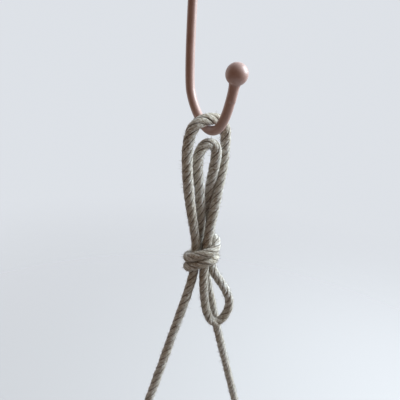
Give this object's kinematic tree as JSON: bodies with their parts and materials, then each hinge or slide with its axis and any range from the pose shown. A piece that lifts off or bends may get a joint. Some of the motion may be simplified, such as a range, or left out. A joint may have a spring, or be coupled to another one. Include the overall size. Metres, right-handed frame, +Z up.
{
  "type": "hanging macrame planter",
  "caption": "Tapered pot in a knotted cord cradle on a round ring, hung by one laid rope, tied up in a bound shortening knot, from a ball-ended ceiling hook.",
  "frame": {"origin": "centre of the ceiling plate's top face, where it meets the ceiling", "axes": "+Z up, out of the top face; the hook's plane is turned 50 degrees from +X towards -Y and the rope's plane 38 degrees from +X towards +Y"},
  "size_m": [0.1826, 0.176, 0.645],
  "materials": {
    "hook_paint": "satin dusty rose powder coat",
    "rope": "laid natural flax rope, slightly hairy",
    "net_cord": "laid natural flax cord",
    "ring_paint": "satin dusty rose powder coat",
    "pot_glaze": "matt off-white stoneware with fine specks"
  },
  "bodies": {
    "hook": {"ceiling_plate": "hook_paint", "hook_rod": "hook_paint", "ball_end": "hook_paint"},
    "hanger": {"hook_loop": "rope", "spare_loop": "rope", "tail_loop": "rope", "left_leg": "rope", "right_leg": "rope", "binding": "rope", "left_eye": "rope", "right_eye": "rope", "left_seizing": "rope", "right_seizing": "rope"},
    "cradle": {"cradle_ring": "ring_paint", "net_cord_1": "net_cord", "ring_hitch_1": "net_cord", "side_knot_1": "net_cord", "low_knot_1": "net_cord", "net_cord_2": "net_cord", "ring_hitch_2": "net_cord", "side_knot_2": "net_cord", "low_knot_2": "net_cord", "net_cord_3": "net_cord", "ring_hitch_3": "net_cord", "side_knot_3": "net_cord", "low_knot_3": "net_cord", "net_cord_4": "net_cord", "ring_hitch_4": "net_cord", "side_knot_4": "net_cord", "low_knot_4": "net_cord", "net_cord_5": "net_cord", "ring_hitch_5": "net_cord", "side_knot_5": "net_cord", "low_knot_5": "net_cord", "net_cord_6": "net_cord", "ring_hitch_6": "net_cord", "side_knot_6": "net_cord", "low_knot_6": "net_cord", "gathering_wrap": "net_cord", "tassel": "net_cord"},
    "pot": {"pot": "pot_glaze"}
  },
  "joints": [
    {"name": "hanger_swing", "type": "hinge", "parent": "hook", "child": "hanger", "pos_m": [0.01768, -0.02107, -0.107], "axis": [0.6428, -0.766, 0], "range_deg": [-25, 25]},
    {"name": "cradle_rock", "type": "hinge", "parent": "hanger", "child": "cradle", "pos_m": [0.01768, -0.02107, -0.436], "axis": [0.788, 0.6157, 0], "range_deg": [-12, 12]},
    {"name": "pot_lift", "type": "slide", "parent": "cradle", "child": "pot", "axis": [0, 0, 1], "range_m": [0, 0.04]}
  ]
}
